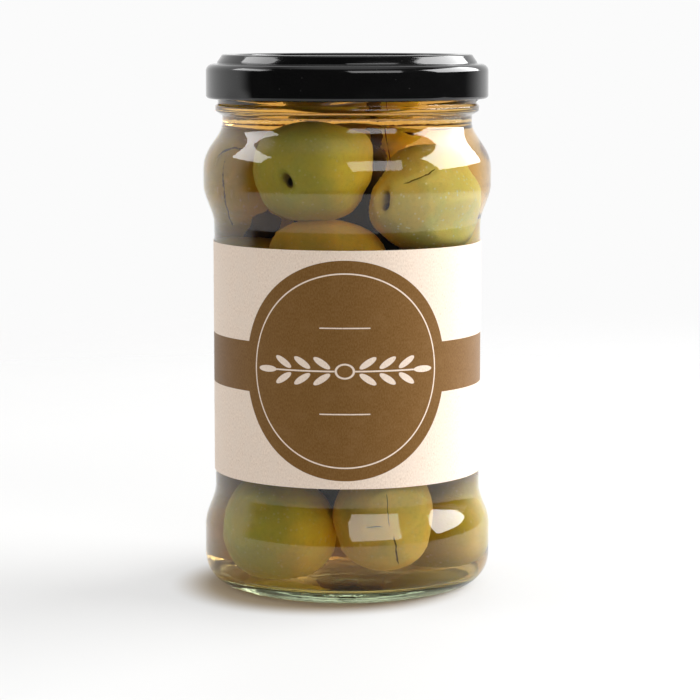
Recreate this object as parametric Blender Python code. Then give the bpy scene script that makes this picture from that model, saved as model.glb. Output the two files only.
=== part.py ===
"""Lidded glass jar of cracked green olives, with a wrap-round paper label.

Metres, +Z up. The jar stands on Z = 0 with its axis on the Z axis, and -Y is its front.
"""

import math
import random
from dataclasses import dataclass

import bmesh
import bpy
from mathutils import Euler, Vector

# Turned pieces share one number of sides, so that their flats face each other
SIDES = 48
MERGE = 1e-7

# Glass, outside
BULGE_R = 0.03385
PANEL_R = 0.03112
NECK_R = 0.02930
BEAD_R = 0.03095
FINISH_R = 0.03035
FOOT_IN_R = 0.0235
FOOT_OUT_R = 0.0280
PUSH_UP = 0.0014
HEEL_TOP_Z = 0.0070
LOW_BULGE_TOP_Z = 0.0136
PANEL_LOW_Z = 0.0232
PANEL_HIGH_Z = 0.0850
HIGH_BULGE_LOW_Z = 0.0946
HIGH_BULGE_TOP_Z = 0.0973
NECK_LOW_Z = 0.1090
NECK_HIGH_Z = 0.1104
BEAD_LOW_Z = 0.1119
BEAD_HIGH_Z = 0.1128
FINISH_LOW_Z = 0.1136
FINISH_HIGH_Z = 0.1212
RIM_OUT_R = 0.0288
RIM_LOW_Z = 0.1228
RIM_Z = 0.1240
RIM_ROUND = 0.0006
SHOULDER_SKEW = 1.35

# Glass, inside
WALL = 0.0024
BORE_R = 0.0265
BORE_LOW_Z = 0.1118
FLOOR_MID_Z = 0.0046
FLOOR_R = 0.0280
FLOOR_Z = 0.0035
INNER_HEEL_TOP_Z = 0.0072

# Screw thread on the glass and the lugs that catch under it
LEADS = 4
THREAD_START_DEG = -102.0
THREAD_SPAN_DEG = 72.0
THREAD_LOW_Z = 0.1143
THREAD_HIGH_Z = 0.1190
THREAD_R = 0.0312
LUG_START_DEG = 48.0
LUG_SPAN_DEG = 12.0
LUG_Z = 0.1154
LUG_R = 0.0308
RIDGE_ROOT_HALF = 0.0008
RIDGE_CREST_HALF = 0.0003
RIDGE_BURY = 0.0004
RIDGE_STEPS = 9
RIDGE_TAPER = 0.12

# Lid of pressed tinplate
LID_R = 0.03310
LID_TIN = 0.00035
LID_LOW_Z = 0.11455
LID_CURL = 0.0008
LID_SHOULDER_Z = 0.1226
LID_SHOULDER_ROUND = 0.0017
LID_STEP_R = 0.0304
LID_STEP_FILLET = 0.0005
LID_TOP_Z = 0.1248
LID_RING_OUT_R = 0.0296
LID_RING_IN_R = 0.0259
LID_RING_ROUND = 0.0007
LID_RING_SLOPE = 0.0008
LID_PANEL_Z = 0.1238

# Paper label
LABEL_R = 0.03156
LABEL_THICK = 0.00016
LABEL_LOW_Z = 0.0271
LABEL_HIGH_Z = 0.08135
LABEL_GAP_SIDES = 2

# Heap of olives
HEAP_CLEAR = 0.0004
CORE_R = 0.0110
CORE_SIDES = 16
CORE_LOW_Z = 0.0080
CORE_HIGH_Z = 0.1000
OLIVE_SIDES = 12
OLIVE_RINGS = 7
OLIVE_POINT = 0.07
OLIVE_HALF_LENGTH = 0.0126
OLIVE_HALF_WIDTH = 0.0114
OLIVE_UNEVEN = 0.05
HIDDEN_LAYERS = 3
HIDDEN_PER_LAYER = 4
HIDDEN_LOW_Z = 0.0370
HIDDEN_STEP_Z = 0.0195
HIDDEN_RING_R = 0.0170
HIDDEN_TWIST_DEG = 45.0
HIDDEN_START_DEG = 30.0
SETTLE_STEPS = 150
SETTLE_RATE = 0.25
SEED = 11


@dataclass
class Olive:
    """One olive: its middle, half its length, width and height, and where its stem end points."""

    place: Vector
    half: Vector
    yaw: float
    pitch: float

    def reach(self):
        return sum(self.half) / 3.0


# The olives that show above and below the label
SHOWN_OLIVES = (
    Olive(Vector((-0.0074, -0.0169, 0.0993)), Vector((0.0129, 0.0121, 0.0112)), -118.0, -11.0),
    Olive(Vector((0.0163, -0.0122, 0.0902)), Vector((0.0144, 0.0106, 0.0110)), -128.0, 11.0),
    Olive(Vector((-0.0042, -0.0150, 0.0778)), Vector((0.0120, 0.0120, 0.0116)), 0.0, 0.0),
    Olive(Vector((-0.0168, 0.0062, 0.0936)), Vector((0.0132, 0.0120, 0.0120)), 20.0, 84.0),
    Olive(Vector((0.0010, 0.0148, 0.1010)), Vector((0.0116, 0.0106, 0.0108)), -30.0, 10.0),
    Olive(Vector((-0.0142, -0.0122, 0.0156)), Vector((0.0128, 0.0124, 0.0124)), 100.0, 80.0),
    Olive(Vector((0.0077, -0.0180, 0.0194)), Vector((0.0132, 0.0107, 0.0110)), 90.0, 84.0),
    Olive(Vector((0.0172, 0.0024, 0.0146)), Vector((0.0120, 0.0116, 0.0116)), 90.0, 70.0),
    Olive(Vector((0.0044, 0.0190, 0.0136)), Vector((0.0120, 0.0112, 0.0110)), 20.0, 0.0),
    Olive(Vector((-0.0170, 0.0110, 0.0152)), Vector((0.0122, 0.0110, 0.0110)), 60.0, 70.0),
)


def clear_scene():
    for item in list(bpy.data.objects):
        bpy.data.objects.remove(item, do_unlink=True)


def make_material(name, colour, roughness, transmission=0.0):
    material = bpy.data.materials.new(name)
    material.use_nodes = True
    shader = material.node_tree.nodes["Principled BSDF"]
    shader.inputs["Base Color"].default_value = (*colour, 1.0)
    shader.inputs["Roughness"].default_value = roughness
    shader.inputs["Metallic"].default_value = 0.0
    shader.inputs["Transmission Weight"].default_value = transmission
    material.diffuse_color = (*colour, 1.0)
    return material


def arc(centre, radii, start, end, steps):
    """Points (radius, height) on an upright ellipse; angles are degrees from outward towards up."""
    points = []
    for step in range(steps + 1):
        angle = math.radians(start + (end - start) * step / steps)
        points.append((centre[0] + radii[0] * math.cos(angle), centre[1] + radii[1] * math.sin(angle)))
    return points


def half_wave(share):
    return (1.0 - math.cos(math.pi * share)) / 2.0


def rise(start, end, steps, skew=1.0):
    """S-shaped wall: the radius eases from start to end while the height climbs evenly."""
    points = []
    for step in range(steps + 1):
        share = step / steps
        radius = start[0] + (end[0] - start[0]) * half_wave(share**skew)
        points.append((radius, start[1] + (end[1] - start[1]) * share))
    return points


def dome(start, end, steps):
    """S-shaped floor: the height eases from start to end while the radius grows evenly."""
    return [(radius, height) for height, radius in rise(start[::-1], end[::-1], steps)]


def turn(name, outline, sides):
    """Closed solid of revolution. The outline runs from the axis and back to it."""
    shape = bmesh.new()
    points = [shape.verts.new((radius, 0.0, height)) for radius, height in outline]
    edges = [shape.edges.new(pair) for pair in zip(points, points[1:])]
    bmesh.ops.spin(
        shape,
        geom=points + edges,
        cent=(0.0, 0.0, 0.0),
        axis=(0.0, 0.0, 1.0),
        angle=2.0 * math.pi,
        steps=sides,
        use_merge=True,
    )
    bmesh.ops.remove_doubles(shape, verts=shape.verts, dist=MERGE)
    return finish_mesh(name, shape)


def finish_mesh(name, shape):
    bmesh.ops.recalc_face_normals(shape, faces=shape.faces)
    mesh = bpy.data.meshes.new(name)
    shape.to_mesh(mesh)
    shape.free()
    item = bpy.data.objects.new(name, mesh)
    bpy.context.scene.collection.objects.link(item)
    return item


def loft(name, sections):
    """Closed bar through a row of sections, each a list of as many points."""
    shape = bmesh.new()
    rows = [[shape.verts.new(point) for point in section] for section in sections]
    count = len(sections[0])
    for row, after in zip(rows, rows[1:]):
        for index in range(count):
            following = (index + 1) % count
            shape.faces.new((row[index], row[following], after[following], after[index]))
    shape.faces.new(rows[0])
    shape.faces.new(rows[-1])
    return finish_mesh(name, shape)


def on_circle(radius, angle, height):
    return Vector((radius * math.cos(angle), radius * math.sin(angle), height))


def ridge(name, start_deg, span_deg, low_z, high_z, root_r, crest_r):
    """Sloping ridge round the axis whose ends sink into the wall that it stands on."""
    sections = []
    for step in range(RIDGE_STEPS + 1):
        share = step / RIDGE_STEPS
        angle = math.radians(start_deg + span_deg * share)
        height = low_z + (high_z - low_z) * share
        stand = min(1.0, min(share, 1.0 - share) / RIDGE_TAPER)
        crest = root_r + (crest_r - root_r) * (RIDGE_TAPER + (1.0 - RIDGE_TAPER) * stand)
        sections.append(
            [
                on_circle(root_r, angle, height - RIDGE_ROOT_HALF),
                on_circle(crest, angle, height - RIDGE_CREST_HALF),
                on_circle(crest, angle, height + RIDGE_CREST_HALF),
                on_circle(root_r, angle, height + RIDGE_ROOT_HALF),
            ]
        )
    return loft(name, sections)


def fuse(base, pieces):
    """Join the pieces to the base in one union, then keep the one outer skin of the result."""
    group = bpy.data.collections.new(base.name + "_pieces")
    for piece in pieces:
        group.objects.link(piece)
    union = base.modifiers.new("union", "BOOLEAN")
    union.operation = "UNION"
    union.operand_type = "COLLECTION"
    union.collection = group
    union.solver = "EXACT"
    bpy.context.view_layer.update()
    joined = bpy.data.meshes.new_from_object(base.evaluated_get(bpy.context.evaluated_depsgraph_get()))
    base.modifiers.remove(union)
    base.data = joined
    for piece in pieces:
        bpy.data.objects.remove(piece, do_unlink=True)
    bpy.data.collections.remove(group)
    keep_outer_skin(base)


def islands(shape):
    """Groups of vertices that hang together."""
    waiting = set(shape.verts)
    groups = []
    while waiting:
        stack = [waiting.pop()]
        group = []
        while stack:
            point = stack.pop()
            group.append(point)
            for edge in point.link_edges:
                other = edge.other_vert(point)
                if other in waiting:
                    waiting.remove(other)
                    stack.append(other)
        groups.append(group)
    return groups


def keep_outer_skin(item):
    """Fill sealed hollows and drop loose scraps: only the tallest skin stays."""
    shape = bmesh.new()
    shape.from_mesh(item.data)
    bmesh.ops.triangulate(shape, faces=shape.faces)

    def height(group):
        levels = [point.co.z for point in group]
        return max(levels) - min(levels)

    groups = sorted(islands(shape), key=height)
    for group in groups[:-1]:
        bmesh.ops.delete(shape, geom=group, context="VERTS")
    shape.to_mesh(item.data)
    shape.free()


def dress(item, material, sharp_deg):
    item.data.materials.clear()
    item.data.materials.append(material)
    item.data.shade_smooth()
    item.data.set_sharp_from_angle(angle=math.radians(sharp_deg))


def glass_outside():
    """From the middle of the underside out and up to the rim."""
    outline = arc((0.0, 0.0), (FOOT_IN_R, PUSH_UP), 90.0, 0.0, 3)
    outline += arc((FOOT_OUT_R, HEEL_TOP_Z), (BULGE_R - FOOT_OUT_R, HEEL_TOP_Z), -90.0, 0.0, 4)
    outline += rise((BULGE_R, LOW_BULGE_TOP_Z), (PANEL_R, PANEL_LOW_Z), 4)
    outline += rise((PANEL_R, PANEL_HIGH_Z), (BULGE_R, HIGH_BULGE_LOW_Z), 4)
    outline += rise((BULGE_R, HIGH_BULGE_TOP_Z), (NECK_R, NECK_LOW_Z), 6, SHOULDER_SKEW)
    outline += rise((NECK_R, NECK_HIGH_Z), (BEAD_R, BEAD_LOW_Z), 2)
    outline += rise((BEAD_R, BEAD_HIGH_Z), (FINISH_R, FINISH_LOW_Z), 2)
    outline += rise((FINISH_R, FINISH_HIGH_Z), (RIM_OUT_R, RIM_LOW_Z), 2)
    outline += arc((RIM_OUT_R - RIM_ROUND, RIM_Z - RIM_ROUND), (RIM_ROUND, RIM_ROUND), 0.0, 90.0, 2)
    return outline


def glass_inside():
    """From the rim down the bore and the wall to the middle of the floor."""
    side = BULGE_R - WALL
    panel = PANEL_R - WALL
    outline = arc((BORE_R + RIM_ROUND, RIM_Z - RIM_ROUND), (RIM_ROUND, RIM_ROUND), 90.0, 180.0, 2)
    outline += rise((side, HIGH_BULGE_TOP_Z), (BORE_R, BORE_LOW_Z), 5, SHOULDER_SKEW)[::-1]
    outline += rise((panel, PANEL_HIGH_Z), (side, HIGH_BULGE_LOW_Z), 3)[::-1]
    outline += rise((side, LOW_BULGE_TOP_Z), (panel, PANEL_LOW_Z), 3)[::-1]
    outline += arc(
        (FLOOR_R, INNER_HEEL_TOP_Z), (side - FLOOR_R, INNER_HEEL_TOP_Z - FLOOR_Z), 0.0, -90.0, 4
    )
    outline += dome((0.0, FLOOR_MID_Z), (FLOOR_R, FLOOR_Z), 3)[-2::-1]
    return outline


def inner_radius(height):
    """Radius of the space inside the glass at a height, read off the turned outline."""
    points = sorted(glass_inside(), key=lambda point: point[1])
    wall = [point for point in points if point[0] >= FLOOR_R]
    if height <= wall[0][1]:
        return 0.0
    for low, high in zip(wall, wall[1:]):
        if low[1] <= height <= high[1] and high[1] > low[1]:
            share = (height - low[1]) / (high[1] - low[1])
            return low[0] + (high[0] - low[0]) * share
    return wall[-1][0]


def make_glass():
    glass = turn("glass_jar", glass_outside() + glass_inside(), SIDES)
    threads = []
    for lead in range(LEADS):
        start = THREAD_START_DEG + 360.0 * lead / LEADS
        threads.append(
            ridge(
                f"thread_{lead}",
                start,
                THREAD_SPAN_DEG,
                THREAD_LOW_Z,
                THREAD_HIGH_Z,
                FINISH_R - RIDGE_BURY,
                THREAD_R,
            )
        )
    fuse(glass, threads)
    dress(glass, make_material("glass", (0.86, 0.93, 0.88), 0.03, transmission=1.0), 50.0)


def lid_outline():
    """From the middle of the top out, down the side, round the curl and back inside."""
    ring_out = (LID_RING_OUT_R - LID_RING_ROUND, LID_TOP_Z - LID_RING_ROUND)
    ring_in = (LID_RING_IN_R + LID_RING_ROUND, LID_TOP_Z - LID_RING_ROUND)
    shoulder = (LID_R - LID_SHOULDER_ROUND, LID_SHOULDER_Z - LID_SHOULDER_ROUND)
    curl = (LID_R - LID_CURL, LID_LOW_Z + LID_CURL)
    ring_inner_round = LID_RING_ROUND - LID_TIN
    shoulder_inner_round = LID_SHOULDER_ROUND - LID_TIN
    panel_edge = LID_RING_IN_R - LID_RING_SLOPE

    outline = [(0.0, LID_PANEL_Z), (panel_edge, LID_PANEL_Z)]
    outline += arc(ring_in, (LID_RING_ROUND, LID_RING_ROUND), 160.0, 90.0, 2)
    outline += arc(ring_out, (LID_RING_ROUND, LID_RING_ROUND), 90.0, 20.0, 2)
    outline += [(LID_STEP_R, LID_SHOULDER_Z + LID_STEP_FILLET / 2.0)]
    outline += [(LID_STEP_R + LID_STEP_FILLET, LID_SHOULDER_Z)]
    outline += arc(shoulder, (LID_SHOULDER_ROUND, LID_SHOULDER_ROUND), 90.0, 0.0, 3)
    outline += arc(curl, (LID_CURL, LID_CURL), 0.0, -240.0, 5)
    outline += arc(shoulder, (shoulder_inner_round, shoulder_inner_round), 0.0, 90.0, 2)
    outline += [(LID_STEP_R - LID_TIN, LID_SHOULDER_Z - LID_TIN + LID_STEP_FILLET / 2.0)]
    outline += arc(ring_out, (ring_inner_round, ring_inner_round), 20.0, 90.0, 1)
    outline += arc(ring_in, (ring_inner_round, ring_inner_round), 90.0, 160.0, 1)
    outline += [(panel_edge + LID_TIN, LID_PANEL_Z - LID_TIN), (0.0, LID_PANEL_Z - LID_TIN)]
    return outline


def make_lid():
    lid = turn("lid", lid_outline(), SIDES)
    inside_r = LID_R - 2.0 * LID_CURL
    lugs = []
    for lead in range(LEADS):
        start = THREAD_START_DEG + 360.0 * lead / LEADS + LUG_START_DEG
        lugs.append(
            ridge(f"lug_{lead}", start, LUG_SPAN_DEG, LUG_Z, LUG_Z, inside_r + RIDGE_BURY, LUG_R)
        )
    fuse(lid, lugs)
    dress(lid, make_material("lid_lacquer", (0.012, 0.012, 0.013), 0.12), 40.0)


def make_label():
    step = 2.0 * math.pi / SIDES
    first = math.pi / 2.0 + step * LABEL_GAP_SIDES / 2.0
    inner = LABEL_R - LABEL_THICK
    sections = []
    for side in range(SIDES - LABEL_GAP_SIDES + 1):
        angle = first + step * side
        sections.append(
            [
                on_circle(inner, angle, LABEL_LOW_Z),
                on_circle(LABEL_R, angle, LABEL_LOW_Z),
                on_circle(LABEL_R, angle, LABEL_HIGH_Z),
                on_circle(inner, angle, LABEL_HIGH_Z),
            ]
        )
    label = loft("label", sections)
    dress(label, make_material("label_paper", (0.80, 0.72, 0.66), 0.85), 40.0)


def hidden_olives():
    """Rings of olives behind the label, left out where a shown one already sits."""
    draw = random.Random(SEED)
    found = []
    for layer in range(HIDDEN_LAYERS):
        height = HIDDEN_LOW_Z + HIDDEN_STEP_Z * layer
        for spot in range(HIDDEN_PER_LAYER):
            turned = HIDDEN_START_DEG + HIDDEN_TWIST_DEG * layer + 360.0 * spot / HIDDEN_PER_LAYER
            place = on_circle(HIDDEN_RING_R, math.radians(turned), height)
            grown = 1.0 + draw.uniform(-OLIVE_UNEVEN, OLIVE_UNEVEN)
            half = Vector((OLIVE_HALF_LENGTH, OLIVE_HALF_WIDTH, OLIVE_HALF_WIDTH)) * grown
            olive = Olive(place, half, draw.uniform(0.0, 360.0), draw.uniform(-50.0, 50.0))
            nearest = min((olive.place - shown.place).length for shown in SHOWN_OLIVES)
            if nearest > OLIVE_HALF_WIDTH:
                found.append(olive)
    return found


def settle(fixed, free):
    """Push the free olives apart and back from the glass until they lie side by side."""
    for _ in range(SETTLE_STEPS):
        for olive in free:
            push = Vector()
            for other in (*fixed, *free):
                if other is olive:
                    continue
                apart = olive.place - other.place
                overlap = olive.reach() + other.reach() - apart.length
                if overlap > 0.0:
                    push += apart.normalized() * overlap
            olive.place += push * SETTLE_RATE
            draw_in(olive.place, inner_radius(olive.place.z) - HEAP_CLEAR - olive.reach())


def make_olive(name, olive):
    """Egg shape with its stem end along the direction that yaw and pitch give."""
    shape = bmesh.new()
    bmesh.ops.create_uvsphere(shape, u_segments=OLIVE_SIDES, v_segments=OLIVE_RINGS, radius=1.0)
    turned = Euler((0.0, -math.radians(olive.pitch), math.radians(olive.yaw)), "XYZ").to_matrix()
    for point in shape.verts:
        along = point.co.z
        girth = 1.0 - OLIVE_POINT * along
        across = point.co.x * girth * olive.half.y
        upward = point.co.y * girth * olive.half.z
        point.co = turned @ Vector((along * olive.half.x, across, upward)) + olive.place
    keep_inside_glass(shape)
    return finish_mesh(name, shape)


def floor_height(radius):
    share = min(1.0, radius / FLOOR_R)
    return FLOOR_MID_Z + (FLOOR_Z - FLOOR_MID_Z) * half_wave(share)


def keep_inside_glass(shape):
    """Draw back any point that would touch the floor or the wall of the glass."""
    for point in shape.verts:
        point.co.z = max(point.co.z, floor_height(point.co.xy.length) + HEAP_CLEAR)
        draw_in(point.co, inner_radius(point.co.z) - HEAP_CLEAR)


def draw_in(place, room):
    """Move a place straight towards the axis until it is within the room."""
    out = place.xy.length
    if out > room:
        place.xy *= room / out


def make_olives():
    hidden = hidden_olives()
    settle(SHOWN_OLIVES, hidden)
    half_r = (CORE_R, CORE_R)
    outline = arc((0.0, CORE_HIGH_Z - CORE_R), half_r, 90.0, 0.0, 3)
    outline += arc((0.0, CORE_LOW_Z + CORE_R), half_r, 0.0, -90.0, 3)
    heap = turn("olives", outline, CORE_SIDES)
    olives = (*SHOWN_OLIVES, *hidden)
    pieces = [make_olive(f"olive_{index}", olive) for index, olive in enumerate(olives)]
    fuse(heap, pieces)
    dress(heap, make_material("olive_flesh", (0.30, 0.30, 0.07), 0.45), 60.0)


def main():
    clear_scene()
    make_glass()
    make_lid()
    make_label()
    make_olives()


main()
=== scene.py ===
"""Looks of a clear glass jar of cracked green olives in brine, with a paper label and a black lid.

Metres, +Z up. The jar stands on Z = 0 with its axis on the Z axis, and -Y is its front.
"""

import math
import random
from dataclasses import dataclass

import bpy
from mathutils import Euler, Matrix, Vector, noise


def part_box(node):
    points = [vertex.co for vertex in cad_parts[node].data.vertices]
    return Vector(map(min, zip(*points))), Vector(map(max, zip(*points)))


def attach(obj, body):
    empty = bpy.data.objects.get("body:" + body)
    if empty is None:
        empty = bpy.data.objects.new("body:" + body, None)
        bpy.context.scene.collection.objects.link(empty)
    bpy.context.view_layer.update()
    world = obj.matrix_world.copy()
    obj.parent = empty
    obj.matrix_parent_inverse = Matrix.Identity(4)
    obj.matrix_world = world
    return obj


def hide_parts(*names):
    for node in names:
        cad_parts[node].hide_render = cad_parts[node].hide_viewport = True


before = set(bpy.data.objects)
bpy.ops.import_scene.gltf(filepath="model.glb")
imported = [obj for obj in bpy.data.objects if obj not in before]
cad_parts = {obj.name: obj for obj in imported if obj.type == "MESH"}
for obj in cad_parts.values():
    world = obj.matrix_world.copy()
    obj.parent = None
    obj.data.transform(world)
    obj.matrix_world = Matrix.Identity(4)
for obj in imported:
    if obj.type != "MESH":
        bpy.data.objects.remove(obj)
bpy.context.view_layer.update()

BODY = "root"

# Points of an outline that lie nearer than this are one point
TINY = 1e-7

# Main sizes, read off the frame
BULGE_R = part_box("glass_jar")[1].x
RIM_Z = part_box("glass_jar")[1].z
LID_LOW_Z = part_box("lid")[0].z
LID_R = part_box("lid")[1].x
LID_TOP_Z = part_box("lid")[1].z
LABEL_LOW_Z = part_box("label")[0].z
LABEL_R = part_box("label")[1].x
LABEL_HIGH_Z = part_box("label")[1].z

# Camera: where it stands, how far it looks down, and its lens on a sensor of the usual width
CAMERA_PLACE = (0.00067, -0.6072, 0.1320)
CAMERA_DOWN_DEG = 7.23
CAMERA_LENS_MM = 132.5
SENSOR_MM = 36.0

# Glass, outside
PANEL_R = 0.03112
NECK_R = 0.02930
BEAD_R = 0.03095
FINISH_R = 0.03035
FOOT_IN_R = 0.0235
FOOT_OUT_R = 0.0280
PUSH_UP = 0.0014
HEEL_TOP_Z = 0.0070
LOW_BULGE_TOP_Z = 0.0136
PANEL_LOW_Z = 0.0232
PANEL_HIGH_Z = 0.0850
HIGH_BULGE_LOW_Z = 0.0946
HIGH_BULGE_TOP_Z = 0.0973
NECK_LOW_Z = 0.1090
NECK_HIGH_Z = 0.1104
BEAD_LOW_Z = 0.1119
BEAD_HIGH_Z = 0.1128
FINISH_LOW_Z = 0.1136
FINISH_HIGH_Z = 0.1212
RIM_OUT_R = 0.0288
RIM_LOW_Z = 0.1228
RIM_ROUND = 0.0006
SHOULDER_SKEW = 1.35

# Glass, inside
WALL = 0.0024
BORE_R = 0.0265
BORE_LOW_Z = 0.1118
FLOOR_MID_Z = 0.0046
FLOOR_R = 0.0280
FLOOR_Z = 0.0035
INNER_HEEL_TOP_Z = 0.0072

# Glass, fine: columns round the jar, steps for each coarse one, knurled foot, mould seams, waves
GLASS_COLUMNS = 234
GLASS_FINE = 6
KNURLS = 117
KNURL_IN_R = 0.0244
KNURL_DEPTH = 0.00030
SEAM_DEG = -73.4
SEAM_HIGH = 0.00003
SEAM_HALF_DEG = 0.5
SEAM_FADE_Z = (0.096, 0.106)
WAVE = 0.00016
WAVE_SIZE = 0.016

# How much the glass mirrors at its foot; it mirrors fully from the top of the low bulge up
HEEL_SHINE = 0.05

# Screw thread
LEADS = 4
THREAD_START_DEG = -102.0
THREAD_SPAN_DEG = 72.0
THREAD_LOW_Z = 0.1143
THREAD_HIGH_Z = 0.1190
THREAD_R = 0.0312
THREAD_HALF = 0.0009
THREAD_TAPER = 0.12
THREAD_CREST = 1.4

# Lid of pressed tinplate
LID_TIN = 0.00035
LID_CURL = 0.0008
LID_SHOULDER_Z = 0.1226
LID_SHOULDER_ROUND = 0.0017
LID_STEP_R = 0.0304
LID_STEP_FILLET = 0.0005
LID_RING_OUT_R = 0.0296
LID_RING_IN_R = 0.0259
LID_RING_ROUND = 0.0007
LID_RING_SLOPE = 0.0008
LID_PANEL_Z = 0.1238
LID_COLUMNS = 288
LID_FINE = 6
LUG_MID_DEG = 54.0
LUG_HALF_DEG = 9.0
LUG_TOP_Z = 0.1178
LUG_DENT = 0.00025
LUG_PUSH = 0.0008

# Paper label
LABEL_THICK = 0.00016
LABEL_GAP_DEG = 15.0
LABEL_COLUMNS = 180
GLUE_GAP = 0.00002
BAND_LOW_Z = 0.04829
BAND_HIGH_Z = 0.05988
DISC_U = -0.0005
DISC_Z = 0.05405
DISC_R = 0.0251
RING_R = 0.0221
RING_HALF = 0.00016
RULE_V = 0.0098
RULE_HALF = (0.0058, 0.00014)
INK_EDGE = 0.00006

# Leaf ornament on the disc; pairs of sizes run along its stem, then across it
SPRIG_START = 0.0029
SPRIG_REACH = 0.0165
LEAF_SPACING = 0.0046
LEAF_MID = (0.00235, 0.00185)
LEAF_HALF = (0.00225, 0.00075)
LEAF_LEAN_DEG = 33.0
LEAF_EDGE = 0.10
STEM_HALF = 0.00018
TIP_AHEAD = 0.0022
TIP_HALF = (0.0024, 0.00075)
FRUIT_HALF = (0.0023, 0.0018)
FRUIT_BARE = 0.78
FRUIT_EDGE = 0.08

# Brine
BRINE_BITE = 0.00008
BRINE_Z = 0.1165
MENISCUS = 0.0009
MENISCUS_SHARES = (0.3, 0.6, 1.0)
SURFACE_SHARES = (0.8, 0.4, 0.0)

# Heap of olives
HEAP_CLEAR = 0.0004
CORE_R = 0.0100
CORE_COLUMNS = 24
CORE_LOW_Z = 0.0090
CORE_HIGH_Z = 0.0990
CORE_STEPS = 6
# The core's near-black colour is painted shade behind the gaps between the olives
CORE_SHADE_TINT = (0.05, 0.040, 0.012)
OLIVE_POINT = 0.07
OLIVE_HALF_LENGTH = 0.0126
OLIVE_HALF_WIDTH = 0.0114
OLIVE_UNEVEN = 0.05
HIDDEN_LAYERS = 3
HIDDEN_PER_LAYER = 4
HIDDEN_LOW_Z = 0.0370
HIDDEN_STEP_Z = 0.0195
HIDDEN_RING_R = 0.0170
HIDDEN_TWIST_DEG = 45.0
HIDDEN_START_DEG = 30.0
HIDDEN_TILT_DEG = 50.0
HIDDEN_SHADE = (0.8, 1.1)
SETTLE_STEPS = 150
SETTLE_RATE = 0.25
SEED = 11

# Fine olives
SHOWN_GRID = (84, 72)
HIDDEN_GRID = (36, 28)
POLE_CROWD = 1.5
LUMP = 0.020
LUMP_SIZE = 0.009
LUMP_SHIFT = 7.3
PIT_DEEP = 0.0024
PIT_LONG = 0.0018
PIT_WIDE = 0.0011
PIT_LEAN = 0.4
# Size of the near-black deep part of the stem pit, painted shade in the hole
PIT_SHADE_PART = (0.65, 0.75)
PIT_STAIN = 0.5
PIT_RIM = 2.2
RIM_SWELL = 0.0003

# Painted light: the side of each olive towards the key light at the right is paler; its direction from an
# olive's middle, and by how much
LIT_SIDE_AZIMUTH_DEG = 78.0
LIT_SIDE_ELEVATION_DEG = 10.0
LIT_SIDE_START = 0.15
LIT_SIDE_GAIN = (0.95, 0.80, 0.65)

# Cracks in the skins: as many as a colour has channels; edge, wander and reach are in mm
CRACK_COUNT = 3
CRACK_EDGE = 0.05
CRACK_WANDER = 0.22
CRACK_WAVES = 7.0
CRACK_REACH = 6.0
CRACK_TAPER = 6.0
CRACK_NOISE = (3.1, 9.0)
CRACK_DEEP = 0.0004
CRACK_SLOPE = 3.0
OLIVE_MM = 12.0

# Floor: it glows a little; round the jar's foot, shifted to the front left, lies a darker and warmer
# painted shadow, and right under the jar glows a painted amber pool of light
FLOOR_LOW_Z = -0.00005
FLOOR_OUT_R = 0.60
FLOOR_FADE_R = 0.22
FLOOR_COLUMNS = 96
FLOOR_SHADES = ((0.32, 0.32, 0.317), (0.34, 0.34, 0.337))
FLOOR_GLOW = 0.44
FLOOR_SHADOW_COLOUR = (0.22, 0.18, 0.13)
FLOOR_SHADOW_GLOW = (0.30, 0.23, 0.15)
FLOOR_SHADOW_R = (0.037, 0.025)
FLOOR_SHADOW_MID = (-0.006, -0.006)
FLOOR_CAUSTIC_GLOW = (1.70, 1.40, 0.42)
FLOOR_CAUSTIC_R = (0.0280, 0.0255)

# Light of the room, by azimuth and elevation in degrees, and where the softboxes stand
BACKGROUND = 0.965
WALL_LIGHT = 1.0
DARK_LIGHT = 0.04
CEILING_LIGHT = 1.0
WALL_LEFT_DEG = (-82.0, -100.0)
WALL_RIGHT_DEG = (105.0, 145.0)
WALL_TOP_DEG = 48.0
WALL_FADE_DEG = 12.0
CEILING_DEG = 80.0
LIGHT_DISTANCE = 1.2
LIGHT_AIM = Vector((0.0, 0.0, 0.065))


@dataclass
class Crack:
    """Split in the skin between two directions from the olive's middle; bow and half width are in mm."""

    start: tuple
    end: tuple
    bow: float = 0.0
    half: float = 0.15


@dataclass
class Olive:
    """One olive: its middle, half its length, width and height, and where its stem end points."""

    place: Vector
    half: Vector
    yaw: float
    pitch: float
    tint: tuple = (0.50, 0.44, 0.10)
    specks: float = 0.2
    cracks: tuple = ()
    pit_turn: float = -60.0

    def reach(self):
        return sum(self.half) / 3.0


@dataclass
class Softbox:
    """Rectangular light: azimuth is from the camera's side towards +X, and all angles are degrees."""

    name: str
    azimuth: float
    elevation: float
    width: float
    height: float
    radiance: float


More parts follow.
